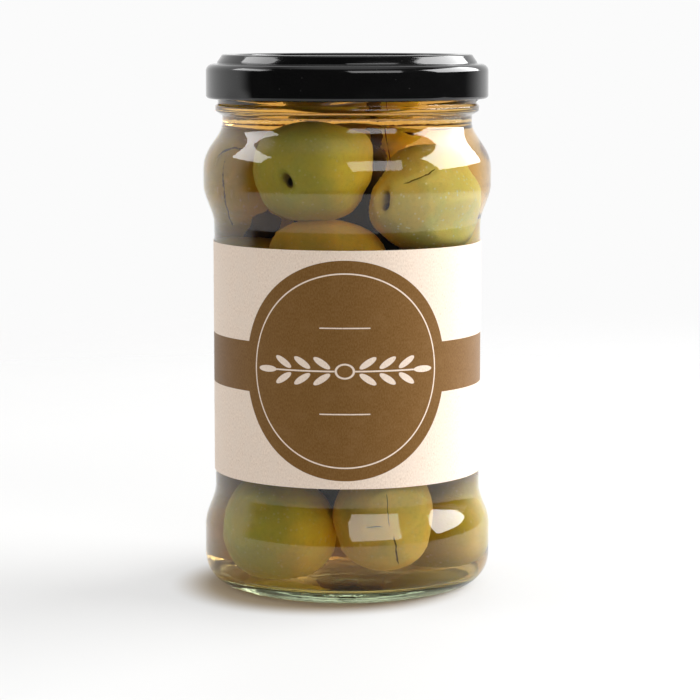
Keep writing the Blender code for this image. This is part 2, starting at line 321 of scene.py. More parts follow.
# The olives that show above and below the label
SHOWN_OLIVES = (
    Olive(
        Vector((-0.0074, -0.0169, 0.0993)), Vector((0.0129, 0.0121, 0.0112)), -118.0, -11.0,
        tint=(0.62, 0.54, 0.11), specks=0.25,
    ),
    Olive(
        Vector((0.0163, -0.0122, 0.0902)), Vector((0.0144, 0.0106, 0.0110)), -128.0, 11.0,
        tint=(0.84, 0.70, 0.22), specks=0.9, cracks=(Crack((-23.0, 24.0), (21.0, 51.0), bow=-0.5),),
        pit_turn=-85.0,
    ),
    Olive(
        Vector((-0.0042, -0.0150, 0.0778)), Vector((0.0120, 0.0120, 0.0116)), 0.0, 0.0,
        tint=(0.80, 0.54, 0.12),
    ),
    Olive(
        Vector((-0.0168, 0.0062, 0.0936)), Vector((0.0132, 0.0120, 0.0120)), 20.0, 84.0,
        tint=(0.73, 0.58, 0.11), specks=0.3,
        cracks=(
            Crack((-50.0, 20.0), (-16.0, 25.0), bow=0.6, half=0.18),
            Crack((10.0, -8.0), (14.0, -85.0), half=3.0),
            Crack((-38.0, 26.0), (-29.0, -46.0), bow=0.3, half=0.13),
        ),
    ),
    Olive(
        Vector((0.0010, 0.0148, 0.1010)), Vector((0.0116, 0.0106, 0.0108)), -30.0, 10.0,
        tint=(0.62, 0.60, 0.13), cracks=(Crack((22.0, 60.0), (24.0, -60.0), half=1.3),),
    ),
    Olive(
        Vector((-0.0142, -0.0122, 0.0156)), Vector((0.0128, 0.0124, 0.0124)), 100.0, 80.0,
        tint=(0.69, 0.57, 0.10), specks=0.25,
    ),
    Olive(
        Vector((0.0077, -0.0180, 0.0194)), Vector((0.0132, 0.0107, 0.0110)), 90.0, 84.0,
        tint=(0.78, 0.56, 0.14),
        cracks=(
            Crack((7.0, 36.0), (9.0, -12.0), bow=0.2, half=0.10),
            Crack((14.0, -16.0), (32.0, -60.0), bow=-0.2, half=0.16),
            Crack((-21.0, -9.0), (2.0, -8.0), half=0.12),
        ),
    ),
    Olive(
        Vector((0.0172, 0.0024, 0.0146)), Vector((0.0120, 0.0116, 0.0116)), 90.0, 70.0,
        tint=(0.46, 0.40, 0.07),
    ),
    Olive(
        Vector((0.0044, 0.0190, 0.0136)), Vector((0.0120, 0.0112, 0.0110)), 20.0, 0.0,
        tint=(0.62, 0.48, 0.08), cracks=(Crack((150.0, 30.0), (185.0, -30.0), bow=0.5),),
    ),
    Olive(
        Vector((-0.0170, 0.0110, 0.0152)), Vector((0.0122, 0.0110, 0.0110)), 60.0, 70.0,
        tint=(0.66, 0.50, 0.15),
    ),
)

SOFTBOXES = (
    Softbox("key_right", 106.0, 27.0, 58.0, 34.0, 10.5),
    Softbox("front_right", 24.0, 27.0, 40.0, 28.0, 4.2),
    Softbox("left_small", -95.0, 34.0, 33.0, 17.0, 6.0),
)


# Small helpers


def arc(centre, radii, start, end, steps):
    """Points (radius, height) on an upright ellipse; angles are degrees from outward towards up."""
    points = []
    for step in range(steps + 1):
        angle = math.radians(start + (end - start) * step / steps)
        points.append((centre[0] + radii[0] * math.cos(angle), centre[1] + radii[1] * math.sin(angle)))
    return points


def half_wave(share):
    return (1.0 - math.cos(math.pi * share)) / 2.0


def rise(start, end, steps, skew=1.0):
    """S-shaped wall: the radius eases from start to end while the height climbs evenly."""
    points = []
    for step in range(steps + 1):
        share = step / steps
        radius = start[0] + (end[0] - start[0]) * half_wave(share**skew)
        points.append((radius, start[1] + (end[1] - start[1]) * share))
    return points


def dome(start, end, steps):
    """S-shaped floor: the height eases from start to end while the radius grows evenly."""
    return [(radius, height) for height, radius in rise(start[::-1], end[::-1], steps)]


def straight(start, end, steps):
    """Points between start and end, without the two ends."""
    return [
        (
            start[0] + (end[0] - start[0]) * step / steps,
            start[1] + (end[1] - start[1]) * step / steps,
        )
        for step in range(1, steps)
    ]


def fade(share):
    """Smooth step from 0 to 1."""
    share = min(1.0, max(0.0, share))
    return share * share * (3.0 - 2.0 * share)


def turned_apart(angle, other):
    """Degrees between two directions, from -180 to 180; both are in degrees."""
    return (angle - other + 180.0) % 360.0 - 180.0


def on_circle(radius, angle, height):
    return Vector((radius * math.cos(angle), radius * math.sin(angle), height))


def without_twins(outline):
    """The outline without the points that repeat the one before them."""
    kept = [outline[0]]
    for point in outline[1:]:
        if math.dist(point, kept[-1]) > TINY:
            kept.append(point)
    return kept


def even_angles(count):
    return [2.0 * math.pi * index / count for index in range(count)]


def add_mesh(name, points, faces, sharp_deg=None):
    mesh = bpy.data.meshes.new(name)
    mesh.from_pydata(points, [], faces)
    mesh.update()
    mesh.shade_smooth()
    if sharp_deg is not None:
        mesh.set_sharp_from_angle(angle=math.radians(sharp_deg))
    item = bpy.data.objects.new(name, mesh)
    bpy.context.scene.collection.objects.link(item)
    return item


def ring_faces(rows, columns):
    """Quads between rings of points that are closed round."""
    faces = []
    for row in range(rows - 1):
        for column in range(columns):
            following = (column + 1) % columns
            low = row * columns
            high = low + columns
            faces.append((low + column, low + following, high + following, high + column))
    return faces


def lathe(name, outline, angles, bend=None, sharp_deg=None):
    """Closed turned skin. The outline runs from the axis and back to it; bend may shift each point."""
    outline = without_twins(outline)
    rings = outline[1:-1]
    points = []
    for radius, height in rings:
        for angle in angles:
            shifted = bend(radius, height, angle) if bend else (radius, height)
            points.append(on_circle(shifted[0], angle, shifted[1]))
    columns = len(angles)
    faces = ring_faces(len(rings), columns)
    low_pole = len(points)
    high_pole = low_pole + 1
    points += [Vector((0.0, 0.0, outline[0][1])), Vector((0.0, 0.0, outline[-1][1]))]
    last = (len(rings) - 1) * columns
    for column in range(columns):
        following = (column + 1) % columns
        faces.append((low_pole, following, column))
        faces.append((high_pole, last + column, last + following))
    return add_mesh(name, points, faces, sharp_deg)


# Node wiring


class Field:
    """A number that varies over a surface, as an output of the node tree."""

    def __init__(self, tree, socket):
        self.tree = tree
        self.socket = socket

    def math(self, operation, *others):
        node = self.tree.nodes.new("ShaderNodeMath")
        node.operation = operation
        for socket, value in zip(node.inputs, (self, *others)):
            feed(self.tree, socket, value)
        return Field(self.tree, node.outputs[0])

    def __add__(self, other):
        return self.math("ADD", other)

    def __sub__(self, other):
        return self.math("SUBTRACT", other)

    def __mul__(self, other):
        return self.math("MULTIPLY", other)

    def __truediv__(self, other):
        return self.math("DIVIDE", other)

    def size(self):
        """The field without its sign."""
        return self.math("ABSOLUTE")

    def top(self, other):
        """The larger of the two."""
        return self.math("MAXIMUM", other)

    def flip(self):
        """1 minus the field."""
        return (self * -1.0) + 1.0

    def ramp(self, start, end, low=0.0, high=1.0):
        """Smooth step from low at start to high at end."""
        node = self.tree.nodes.new("ShaderNodeMapRange")
        node.interpolation_type = "SMOOTHSTEP"
        feed(self.tree, node.inputs["Value"], self)
        if start > end:
            start, end, low, high = end, start, high, low
        node.inputs["From Min"].default_value = start
        node.inputs["From Max"].default_value = end
        node.inputs["To Min"].default_value = low
        node.inputs["To Max"].default_value = high
        return Field(self.tree, node.outputs["Result"])

    def inside(self, limit, edge):
        """1 where the field is under the limit and 0 where it is over, with a soft edge."""
        return self.ramp(limit + edge / 2.0, limit - edge / 2.0)


def feed(tree, socket, value):
    """Link a field or a socket, or set a plain value."""
    if isinstance(value, Field):
        tree.links.new(value.socket, socket)
    elif isinstance(value, bpy.types.NodeSocket):
        tree.links.new(value, socket)
    else:
        socket.default_value = value


def length_of(first, second):
    return (first * first + second * second).math("SQRT")


def place_fields(tree, output="Object"):
    """The point's own place as a vector socket and as three fields."""
    place = tree.nodes.new("ShaderNodeTexCoord").outputs[output]
    split = tree.nodes.new("ShaderNodeSeparateXYZ")
    tree.links.new(place, split.inputs[0])
    return (place, *(Field(tree, socket) for socket in split.outputs))


def vector_of(tree, *parts):
    node = tree.nodes.new("ShaderNodeCombineXYZ")
    for socket, part in zip(node.inputs, parts):
        feed(tree, socket, part)
    return node.outputs[0]


def noise_field(tree, place, size, detail=2.0, roughness=0.5):
    """Noise from 0 to 1 whose lumps are about as large as size."""
    node = tree.nodes.new("ShaderNodeTexNoise")
    tree.links.new(place, node.inputs["Vector"])
    node.inputs["Scale"].default_value = 1.0 / size
    node.inputs["Detail"].default_value = detail
    node.inputs["Roughness"].default_value = roughness
    return Field(tree, node.outputs["Fac"])


def dots_field(tree, place, size):
    """Distance to the nearest of many scattered points that lie about size apart, in that unit."""
    node = tree.nodes.new("ShaderNodeTexVoronoi")
    tree.links.new(place, node.inputs["Vector"])
    node.inputs["Scale"].default_value = 1.0 / size
    return Field(tree, node.outputs["Distance"])


def mix(tree, share, first, second, kind="MIX"):
    """Colour between first and second."""
    node = tree.nodes.new("ShaderNodeMix")
    node.data_type = "RGBA"
    node.blend_type = kind
    feed(tree, node.inputs[0], share)
    for socket, value in ((node.inputs[6], first), (node.inputs[7], second)):
        feed(tree, socket, (*value, 1.0) if isinstance(value, tuple) else value)
    return node.outputs[2]


def bump(tree, height, depth, before=None):
    """Normal of a surface whose height field swings by depth metres."""
    node = tree.nodes.new("ShaderNodeBump")
    node.inputs["Distance"].default_value = depth
    feed(tree, node.inputs["Height"], height)
    if before is not None:
        tree.links.new(before, node.inputs["Normal"])
    return node.outputs[0]


def painted(tree, name):
    """Colour painted on the points of a mesh."""
    node = tree.nodes.new("ShaderNodeAttribute")
    node.attribute_name = name
    return node.outputs["Color"]


def parts_of(tree, colour):
    """The three channels of a colour as fields."""
    split = tree.nodes.new("ShaderNodeSeparateColor")
    tree.links.new(colour, split.inputs[0])
    return [Field(tree, socket) for socket in split.outputs]


def new_material(name, **settings):
    """Principled material; settings are its sockets, with _ for a blank."""
    material = bpy.data.materials.new(name)
    material.use_nodes = True
    tree = material.node_tree
    shader = tree.nodes["Principled BSDF"]
    for key, value in settings.items():
        shader.inputs[key.replace("_", " ")].default_value = value
    return material, tree, shader


def absorb(tree, colour, density):
    node = tree.nodes.new("ShaderNodeVolumeAbsorption")
    node.inputs["Color"].default_value = (*colour, 1.0)
    node.inputs["Density"].default_value = density
    tree.links.new(node.outputs[0], tree.nodes["Material Output"].inputs["Volume"])


# Materials


def glass_material():
    material, tree, shader = new_material(
        "clear_glass", Base_Color=(1.0, 1.0, 1.0, 1.0), Roughness=0.0, IOR=1.52, Transmission_Weight=1.0
    )
    place = place_fields(tree)[0]
    orange_peel = noise_field(tree, place, 0.0011, 2.0)
    waves = noise_field(tree, place, 0.007, 1.0)
    normal = bump(tree, waves, 0.00006)
    normal = bump(tree, orange_peel, 0.000010, normal)
    tree.links.new(normal, shader.inputs["Normal"])
    tree.links.new(painted(tree, "outer"), shader.inputs["Specular Tint"])
    absorb(tree, (0.78, 0.93, 0.62), 20.0)
    return material


def brine_material():
    material, tree, shader = new_material(
        "brine", Base_Color=(1.0, 1.0, 1.0, 1.0), Roughness=0.0, IOR=1.34, Transmission_Weight=1.0,
        Specular_Tint=(0.0, 0.0, 0.0, 1.0),
    )
    place = place_fields(tree)[0]
    normal = bump(tree, noise_field(tree, place, 0.010, 1.0), 0.00002)
    tree.links.new(normal, shader.inputs["Normal"])
    absorb(tree, (0.885, 0.63, 0.04), 52.0)
    return material


def lacquer_material():
    material, tree, shader = new_material("black_lacquer", IOR=1.5)
    place = place_fields(tree)[0]
    cloud = noise_field(tree, place, 0.006, 3.0)
    grain = noise_field(tree, place, 0.0006, 1.0)
    dust = dots_field(tree, place, 0.0021).inside(0.06, 0.03)
    colour = mix(tree, cloud, (0.0020, 0.0020, 0.0022), (0.0036, 0.0036, 0.0036))
    colour = mix(tree, dust * 0.25, colour, (0.09, 0.09, 0.085))
    tree.links.new(colour, shader.inputs["Base Color"])
    feed(tree, shader.inputs["Roughness"], cloud.ramp(0.3, 0.7, 0.06, 0.13))
    tree.links.new(bump(tree, grain, 0.000002), shader.inputs["Normal"])
    return material


def lining_material():
    material, tree, shader = new_material("gold_lining", Metallic=1.0)
    place = place_fields(tree)[0]
    cloud = noise_field(tree, place, 0.003, 3.0)
    colour = mix(tree, cloud, (0.62, 0.40, 0.12), (0.78, 0.54, 0.20))
    tree.links.new(colour, shader.inputs["Base Color"])
    feed(tree, shader.inputs["Roughness"], cloud.ramp(0.3, 0.7, 0.22, 0.32))
    return material


def sprig(u, v):
    """Plain leaf ornament that lies flat: leaf pairs along a stem to both sides of one fruit."""
    along = u.size()
    across = v.size()
    lean = math.radians(LEAF_LEAN_DEG)
    leaf_u = (along - SPRIG_START).math("MODULO", LEAF_SPACING) - LEAF_MID[0]
    leaf_v = across - LEAF_MID[1]
    long_way = leaf_u * math.cos(lean) + leaf_v * math.sin(lean)
    wide_way = leaf_v * math.cos(lean) - leaf_u * math.sin(lean)
    reached = along.inside(SPRIG_REACH, INK_EDGE)
    leaf = length_of(long_way / LEAF_HALF[0], wide_way / LEAF_HALF[1]).inside(1.0, LEAF_EDGE)
    leaf = leaf * reached * along.ramp(SPRIG_START, SPRIG_START + INK_EDGE)
    stem = across.inside(STEM_HALF, INK_EDGE) * reached
    tip_u = (along - SPRIG_REACH - TIP_AHEAD) / TIP_HALF[0]
    tip = length_of(tip_u, across / TIP_HALF[1]).inside(1.0, LEAF_EDGE)
    fruit = length_of(u / FRUIT_HALF[0], v / FRUIT_HALF[1])
    fruit = fruit.inside(1.0, FRUIT_EDGE) * fruit.inside(FRUIT_BARE, FRUIT_EDGE).flip()
    clear = along.ramp(FRUIT_HALF[0], FRUIT_HALF[0] + INK_EDGE)
    return leaf.top(stem * clear).top(tip).top(fruit)


def label_print(x, y, z):
    """Where the brown ink lies, and the distance round the paper from the middle of its front."""
    u = x.math("ARCTAN2", y * -1.0) * LABEL_R
    band_mid = (BAND_LOW_Z + BAND_HIGH_Z) / 2.0
    band = (z - band_mid).size().inside(BAND_HIGH_Z - band_mid, INK_EDGE)
    disc_u = u - DISC_U
    disc_v = z - DISC_Z
    far = length_of(disc_u, disc_v)
    disc = far.inside(DISC_R, INK_EDGE)
    ring = (far - RING_R).size().inside(RING_HALF, INK_EDGE)
    rule = (disc_v.size() - RULE_V).size().inside(RULE_HALF[1], INK_EDGE)
    rule = rule * disc_u.size().inside(RULE_HALF[0], INK_EDGE)
    bare = ring.top(rule).top(sprig(disc_u, disc_v))
    return band.top(disc) * bare.flip(), u


def label_material():
    material, tree, shader = new_material("label_paper", IOR=1.2, Sheen_Weight=0.25, Sheen_Roughness=0.4)
    place, x, y, z = place_fields(tree)
    ink, u = label_print(x, y, z)
    fibres = noise_field(tree, vector_of(tree, u, z * 0.5, 0.0), 0.00030, 3.0, 0.65)
    clouds = noise_field(tree, place, 0.0030, 4.0)
    flecks = dots_field(tree, vector_of(tree, u, z * 0.6, 0.0), 0.0011).inside(0.11, 0.05)
    paper = mix(tree, fibres.ramp(0.3, 0.7), (0.70, 0.56, 0.45), (0.84, 0.70, 0.58))
    paper = mix(tree, clouds.ramp(0.35, 0.65) * 0.35, paper, (0.75, 0.64, 0.54))
    paper = mix(tree, flecks * 0.35, paper, (0.46, 0.26, 0.15))
    brown = mix(tree, fibres.ramp(0.3, 0.7), (0.145, 0.068, 0.014), (0.20, 0.100, 0.028))
    brown = mix(tree, clouds.ramp(0.45, 0.75) * 0.25, brown, (0.23, 0.125, 0.045))
    tree.links.new(mix(tree, ink, paper, brown), shader.inputs["Base Color"])
    feed(tree, shader.inputs["Roughness"], ink.ramp(0.0, 1.0, 0.75, 0.60))
    tree.links.new(bump(tree, fibres, 0.00002), shader.inputs["Normal"])
    return material


def olive_material():
    """Skin with soft blotches, pale specks, a brown stem scar with painted shade deep in its pit, and
    cracks darkened by painted shade inside the splits.
    """
    material, tree, shader = new_material(
        "olive_skin", IOR=1.12, Subsurface_Weight=0.6, Subsurface_Scale=0.003,
        Subsurface_Radius=(1.0, 0.75, 0.2),
    )
    place = place_fields(tree)[0]
    tint = painted(tree, "tint")
    scar_and_pit_shade, specks = parts_of(tree, painted(tree, "marks"))[:2]
    blotch = noise_field(tree, place, 0.0065, 3.0)
    mottle = noise_field(tree, place, 0.0009, 3.0)
    ragged = noise_field(tree, place, 0.0005, 2.0)
    dots = dots_field(tree, place, 0.0013)
    patchy = noise_field(tree, place, 0.004, 1.0).ramp(0.35, 0.55)
    colour = mix(tree, 1.0, tint, (1.07, 1.01, 0.92), "MULTIPLY")
    green = mix(tree, 1.0, tint, (0.93, 0.99, 1.0), "MULTIPLY")
    colour = mix(tree, blotch.ramp(0.35, 0.65), colour, green)
    colour = mix(tree, mottle.ramp(0.45, 0.75) * 0.10, colour, (0.20, 0.15, 0.03))
    pale = dots.inside(0.20, 0.16) * specks * patchy
    colour = mix(tree, pale * 0.85, colour, (1.0, 0.94, 0.62))
    crack_and_shade = None
    wobble = (ragged - 0.5) * 0.25
    distances = parts_of(tree, painted(tree, "away"))
    halves = parts_of(tree, painted(tree, "open"))
    for away, half in zip(distances, halves):
        line = (half - (away + wobble).size()).ramp(-0.6 * CRACK_EDGE, 0.6 * CRACK_EDGE)
        crack_and_shade = line if crack_and_shade is None else crack_and_shade.top(line)
    # The cracks are dented and bumped, and darkened with painted shade inside the splits
    colour = mix(tree, crack_and_shade * 0.9, colour, (0.11, 0.070, 0.016))
    # A brown stain for the stem scar, then near-black painted shade deep in the stem pit
    colour = mix(tree, scar_and_pit_shade.ramp(0.05, 0.5), colour, (0.19, 0.125, 0.030))
    colour = mix(tree, scar_and_pit_shade.ramp(0.5, 0.95), colour, (0.040, 0.027, 0.010))
    tree.links.new(colour, shader.inputs["Base Color"])
    feed(tree, shader.inputs["Roughness"], mottle.ramp(0.3, 0.7, 0.38, 0.55))
    normal = bump(tree, mottle, 0.00006)
    tree.links.new(bump(tree, crack_and_shade.flip(), 0.00015, normal), shader.inputs["Normal"])
    return material


def floor_material():
    """Pale floor that glows a little, with a painted shadow round the jar and a painted amber pool of
    light under it, and blends into the white background where it is seen far off.
    """
    material, tree, shader = new_material(
        "pale_floor", Roughness=0.6, Specular_IOR_Level=0.25, Emission_Strength=FLOOR_GLOW
    )
    place, x, y, _ = place_fields(tree)
    cloud = noise_field(tree, place, 0.09, 2.0)
    colour = mix(tree, cloud, FLOOR_SHADES[0], FLOOR_SHADES[1])
    # Painted shadow: darker and warmer, and glowing less, round the jar's foot towards the front left
    shadow_share = length_of(x - FLOOR_SHADOW_MID[0], y - FLOOR_SHADOW_MID[1]).ramp(*FLOOR_SHADOW_R)
    tree.links.new(mix(tree, shadow_share, colour, FLOOR_SHADOW_COLOUR), shader.inputs["Base Color"])
    glow = mix(tree, shadow_share, (1.0, 1.0, 1.0), FLOOR_SHADOW_GLOW)
    # Painted light: an amber glow right under the jar stands in for the light the jar focuses on the
    # floor
    from_axis = length_of(x, y)
    glow = mix(tree, from_axis.ramp(*FLOOR_CAUSTIC_R), glow, FLOOR_CAUSTIC_GLOW)
    tree.links.new(glow, shader.inputs["Emission Color"])
    far = from_axis.ramp(FLOOR_FADE_R, FLOOR_OUT_R)
    seen = Field(tree, tree.nodes.new("ShaderNodeLightPath").outputs["Is Camera Ray"])
    clear = tree.nodes.new("ShaderNodeBsdfTransparent")
    blend = tree.nodes.new("ShaderNodeMixShader")
    feed(tree, blend.inputs[0], far * seen)
    tree.links.new(shader.outputs[0], blend.inputs[1])
    tree.links.new(clear.outputs[0], blend.inputs[2])
    tree.links.new(blend.outputs[0], tree.nodes["Material Output"].inputs["Surface"])
    return material


# Glass


def glass_outside():
    """From the middle of the underside out and up to the rim."""
    fine = GLASS_FINE
    panel = fine_panel_radius()
    outline = arc((0.0, 0.0), (FOOT_IN_R, PUSH_UP), 90.0, 0.0, 2 * fine)
    outline += straight((FOOT_IN_R, 0.0), (FOOT_OUT_R, 0.0), 2 * fine)
    outline += arc((FOOT_OUT_R, HEEL_TOP_Z), (BULGE_R - FOOT_OUT_R, HEEL_TOP_Z), -90.0, 0.0, 4 * fine)
    outline += straight((BULGE_R, HEEL_TOP_Z), (BULGE_R, LOW_BULGE_TOP_Z), fine)
    outline += rise((BULGE_R, LOW_BULGE_TOP_Z), (panel, PANEL_LOW_Z), 4 * fine)
    outline += straight((panel, PANEL_LOW_Z), (panel, PANEL_HIGH_Z), fine)
    outline += rise((panel, PANEL_HIGH_Z), (BULGE_R, HIGH_BULGE_LOW_Z), 4 * fine)
    outline += rise((BULGE_R, HIGH_BULGE_TOP_Z), (NECK_R, NECK_LOW_Z), 6 * fine, SHOULDER_SKEW)
    outline += rise((NECK_R, NECK_HIGH_Z), (BEAD_R, BEAD_LOW_Z), 2 * fine)
    outline += rise((BEAD_R, BEAD_HIGH_Z), (FINISH_R, FINISH_LOW_Z), fine)
    outline += straight((FINISH_R, FINISH_LOW_Z), (FINISH_R, FINISH_HIGH_Z), 5 * fine)
    outline += rise((FINISH_R, FINISH_HIGH_Z), (RIM_OUT_R, RIM_LOW_Z), fine)
    outline += arc((RIM_OUT_R - RIM_ROUND, RIM_Z - RIM_ROUND), (RIM_ROUND, RIM_ROUND), 0.0, 90.0, fine)
    return outline


def glass_inside(panel_radius, fine):
    """From the rim down the bore and the wall to the middle of the floor."""
    side = BULGE_R - WALL
    panel = panel_radius - WALL
    outline = arc((BORE_R + RIM_ROUND, RIM_Z - RIM_ROUND), (RIM_ROUND, RIM_ROUND), 90.0, 180.0, 2 * fine)
    outline += rise((side, HIGH_BULGE_TOP_Z), (BORE_R, BORE_LOW_Z), 5 * fine, SHOULDER_SKEW)[::-1]
    outline += rise((panel, PANEL_HIGH_Z), (side, HIGH_BULGE_LOW_Z), 3 * fine)[::-1]
    outline += rise((side, LOW_BULGE_TOP_Z), (panel, PANEL_LOW_Z), 3 * fine)[::-1]
    outline += arc(
        (FLOOR_R, INNER_HEEL_TOP_Z), (side - FLOOR_R, INNER_HEEL_TOP_Z - FLOOR_Z), 0.0, -90.0, 4 * fine
    )
    outline += dome((0.0, FLOOR_MID_Z), (FLOOR_R, FLOOR_Z), 3 * fine)[-2::-1]
    return outline


def fine_panel_radius():
    """The label is glued straight on to the glass."""
    return LABEL_R - LABEL_THICK - GLUE_GAP


def inner_radius(height):
    """Radius of the space inside the glass at a height, read off the coarse turned outline."""
    points = sorted(glass_inside(PANEL_R, 1), key=lambda point: point[1])
    wall = [point for point in points if point[0] >= FLOOR_R]
    if height <= wall[0][1]:
        return 0.0
    for low, high in zip(wall, wall[1:]):
        if low[1] <= height <= high[1] and high[1] > low[1]:
            share = (height - low[1]) / (high[1] - low[1])
            return low[0] + (high[0] - low[0]) * share
    return wall[-1][0]


def thread_height(angle, height):
    """How far the screw thread stands out at a place on the finish, from 0 to 1."""
    stands = 0.0
    for lead in range(LEADS):
        start = THREAD_START_DEG + 360.0 * lead / LEADS
        share = ((math.degrees(angle) - start) % 360.0) / THREAD_SPAN_DEG
        if share <= 1.0:
            middle = THREAD_LOW_Z + (THREAD_HIGH_Z - THREAD_LOW_Z) * share
            taper = fade(min(share, 1.0 - share) / THREAD_TAPER)
            slope = THREAD_CREST * abs(height - middle) / THREAD_HALF
            stands = max(stands, taper * fade(THREAD_CREST - slope))
    return stands


def seam_height(angle):
    """Mould seams on both sides of the jar, from 0 to 1."""
    degrees = math.degrees(angle)
    nearest = min(abs(turned_apart(degrees, SEAM_DEG)), abs(turned_apart(degrees, SEAM_DEG + 180.0)))
    return fade(1.0 - nearest / SEAM_HALF_DEG)


def wall_wave(angle, height):
    """Unevenness of the inner wall, as pressed and blown glass has."""
    spot = on_circle(BULGE_R, angle, height) / WAVE_SIZE
    return WAVE * noise.noise(spot)


def shape_outside(radius, height, angle):
    if height < FINISH_HIGH_Z and radius > FOOT_OUT_R:
        low, high = SEAM_FADE_Z
        radius += SEAM_HIGH * seam_height(angle) * fade((height - low) / (high - low))
    if FINISH_LOW_Z - THREAD_HALF < height < FINISH_HIGH_Z:
        radius += (THREAD_R - FINISH_R) * thread_height(angle, height)
    if height < KNURL_DEPTH and KNURL_IN_R < radius < FOOT_OUT_R:
        edge = fade((FOOT_OUT_R - radius) / KNURL_DEPTH) * fade((radius - KNURL_IN_R) / KNURL_DEPTH)
        height += KNURL_DEPTH * edge * (1.0 - math.cos(KNURLS * angle)) / 2.0
    return radius, height


def shape_inside(radius, height, angle):
    if radius > FLOOR_R:
        radius += wall_wave(angle, height)
    return radius, height


def mirror_share(height):
    """How much the outside of the glass mirrors at a height; the inside, in the brine, doesn't."""
    return HEEL_SHINE + (1.0 - HEEL_SHINE) * fade(height / LOW_BULGE_TOP_Z)


def make_glass():
    angles = set(even_angles(GLASS_COLUMNS))
    for seam in (SEAM_DEG, SEAM_DEG + 180.0):
        for part in range(-2, 3):
            angles.add(math.radians(seam + part * SEAM_HALF_DEG / 2.0) % (2.0 * math.pi))
    outside = glass_outside()
    inside = glass_inside(fine_panel_radius(), GLASS_FINE)
    outer_points = {point for point in outside if point[1] < RIM_Z - TINY}

    def bend(radius, height, angle):
        if (radius, height) in outer_points:
            return shape_outside(radius, height, angle)
        return shape_inside(radius, height, angle)

    glass = lathe("glass_jar_clear", outside + inside, sorted(angles), bend)
    outer_count = (len(without_twins(outside)) - 1) * len(angles)
    outer_middle = len(glass.data.vertices) - 2
    shine = []
    for vertex in glass.data.vertices:
        outer = vertex.index < outer_count or vertex.index == outer_middle
        shine.append((mirror_share(vertex.co.z) if outer else 0.0,) * 3)
    paint(glass, "outer", shine)
    glass.data.materials.append(glass_material())
    return finish_piece(glass, "glass_jar")


# Brine


def make_brine():
    """Closed body of brine that reaches just into the glass, with a surface that climbs at the wall."""
    outline = []
    for radius, height in reversed(glass_inside(fine_panel_radius(), GLASS_FINE)):
        if height < BRINE_Z:
            drop = BRINE_BITE if radius <= FLOOR_R + BRINE_BITE else 0.0
            outline.append((radius + BRINE_BITE, height - drop))
    outline[0] = (0.0, outline[0][1])
    bore = BORE_R + BRINE_BITE
    outline.append((bore, BRINE_Z + MENISCUS))
    for share in MENISCUS_SHARES:
        outline.append((bore - MENISCUS * share, BRINE_Z + MENISCUS * (1.0 - share) ** 3))
    outline += [(BORE_R * share, BRINE_Z) for share in SURFACE_SHARES]
    brine = lathe("brine", outline, even_angles(GLASS_COLUMNS), shape_inside)
    brine.data.materials.append(brine_material())
    return finish_piece(brine)


# Lid


def lid_outline():
    """From the middle of the top out, down the side, round the curl and back inside."""
    fine = LID_FINE
    ring_out = (LID_RING_OUT_R - LID_RING_ROUND, LID_TOP_Z - LID_RING_ROUND)
    ring_in = (LID_RING_IN_R + LID_RING_ROUND, LID_TOP_Z - LID_RING_ROUND)
    shoulder = (LID_R - LID_SHOULDER_ROUND, LID_SHOULDER_Z - LID_SHOULDER_ROUND)
    curl = (LID_R - LID_CURL, LID_LOW_Z + LID_CURL)
    ring_inner = LID_RING_ROUND - LID_TIN
    shoulder_inner = LID_SHOULDER_ROUND - LID_TIN
    panel_edge = LID_RING_IN_R - LID_RING_SLOPE
    fillet = LID_STEP_FILLET
    step_foot = (LID_STEP_R + fillet, LID_SHOULDER_Z + fillet)

    outline = [(0.0, LID_PANEL_Z), (panel_edge, LID_PANEL_Z)]
    outline += arc(ring_in, (LID_RING_ROUND, LID_RING_ROUND), 160.0, 90.0, 2 * fine)
    outline += arc(ring_out, (LID_RING_ROUND, LID_RING_ROUND), 90.0, 15.0, 2 * fine)
    outline += arc(step_foot, (fillet, fillet), 180.0, 270.0, fine)
    outline += arc(shoulder, (LID_SHOULDER_ROUND, LID_SHOULDER_ROUND), 90.0, 0.0, 3 * fine)
    outline += straight((LID_R, shoulder[1]), (LID_R, curl[1]), 3 * fine)
    outline += arc(curl, (LID_CURL, LID_CURL), 0.0, -240.0, 4 * fine)
    outline += straight(outline[-1], (LID_R - LID_TIN, shoulder[1]), 2 * fine)
    lining = arc(shoulder, (shoulder_inner, shoulder_inner), 0.0, 90.0, 2 * fine)
    lining += [(LID_STEP_R - LID_TIN, LID_SHOULDER_Z - LID_TIN + fillet)]
    lining += arc(ring_out, (ring_inner, ring_inner), 20.0, 90.0, fine)
    lining += arc(ring_in, (ring_inner, ring_inner), 90.0, 160.0, fine)
    lining += [(panel_edge + LID_TIN, LID_PANEL_Z - LID_TIN), (0.0, LID_PANEL_Z - LID_TIN)]
    return outline, lining


def lug_share(angle):
    """1 at each lug, where the lid's edge is pressed in under the thread, and 0 away from it."""
    spacing = 360.0 / LEADS
    middle = THREAD_START_DEG + LUG_MID_DEG
    apart = (math.degrees(angle) - middle + spacing / 2.0) % spacing - spacing / 2.0
    return fade(1.0 - abs(apart) / LUG_HALF_DEG)


def press_lugs(radius, height, angle):
    if height > LUG_TOP_Z or radius < LID_RING_IN_R:
        return radius, height
    low = fade((LUG_TOP_Z - height) / (LUG_TOP_Z - LID_LOW_Z))
    inward = LUG_PUSH if radius < LID_R - LID_CURL else LUG_DENT
    return radius - inward * low * lug_share(angle), height


